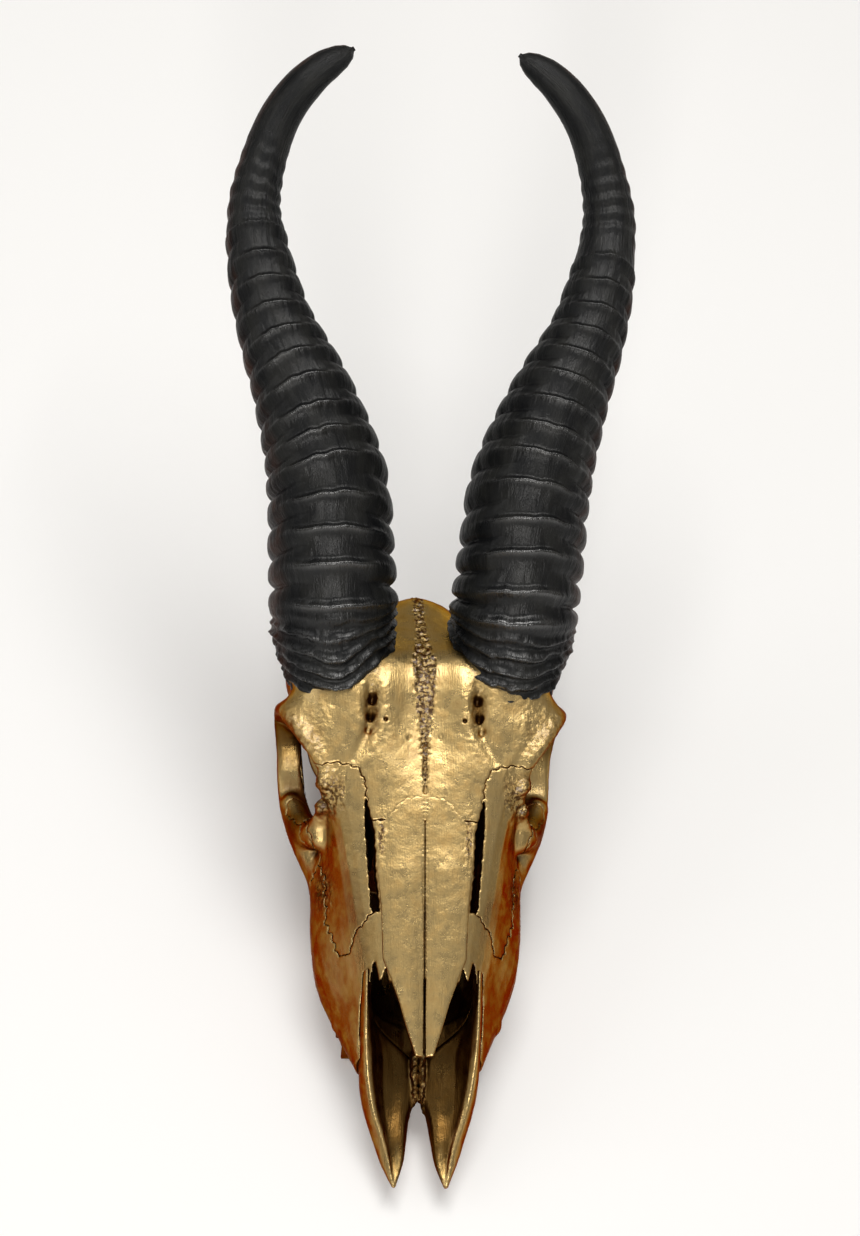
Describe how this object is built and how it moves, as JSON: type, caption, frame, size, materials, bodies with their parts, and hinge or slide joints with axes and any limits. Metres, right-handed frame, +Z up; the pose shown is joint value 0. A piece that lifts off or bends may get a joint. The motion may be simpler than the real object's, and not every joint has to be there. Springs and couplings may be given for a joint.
{
  "type": "springbok skull",
  "caption": "Gilded skull of a springbok without its lower jaw, with black ringed lyre-shaped horns that bend in at the tips.",
  "frame": {"origin": "on the table, under the middle of the box round the skull and horns", "axes": "+X to the animal's left, +Y from the muzzle back towards the horn tips, +Z up"},
  "size_m": [0.1372, 0.3296, 0.1907],
  "materials": {
    "gilded_bone": "gold leaf over bone, brushed and finely grained",
    "black_horn": "black horn with a soft sheen and fine lengthwise lines"
  },
  "bodies": {
    "root": {"cranium": "gilded_bone", "nasal_left": "gilded_bone", "nasal_right": "gilded_bone", "maxilla_left": "gilded_bone", "maxilla_right": "gilded_bone", "premaxilla_left": "gilded_bone", "premaxilla_right": "gilded_bone", "lacrimal_left": "gilded_bone", "lacrimal_right": "gilded_bone", "zygomatic_left": "gilded_bone", "zygomatic_right": "gilded_bone", "horn_left": "black_horn", "horn_right": "black_horn"}
  },
  "joints": []
}
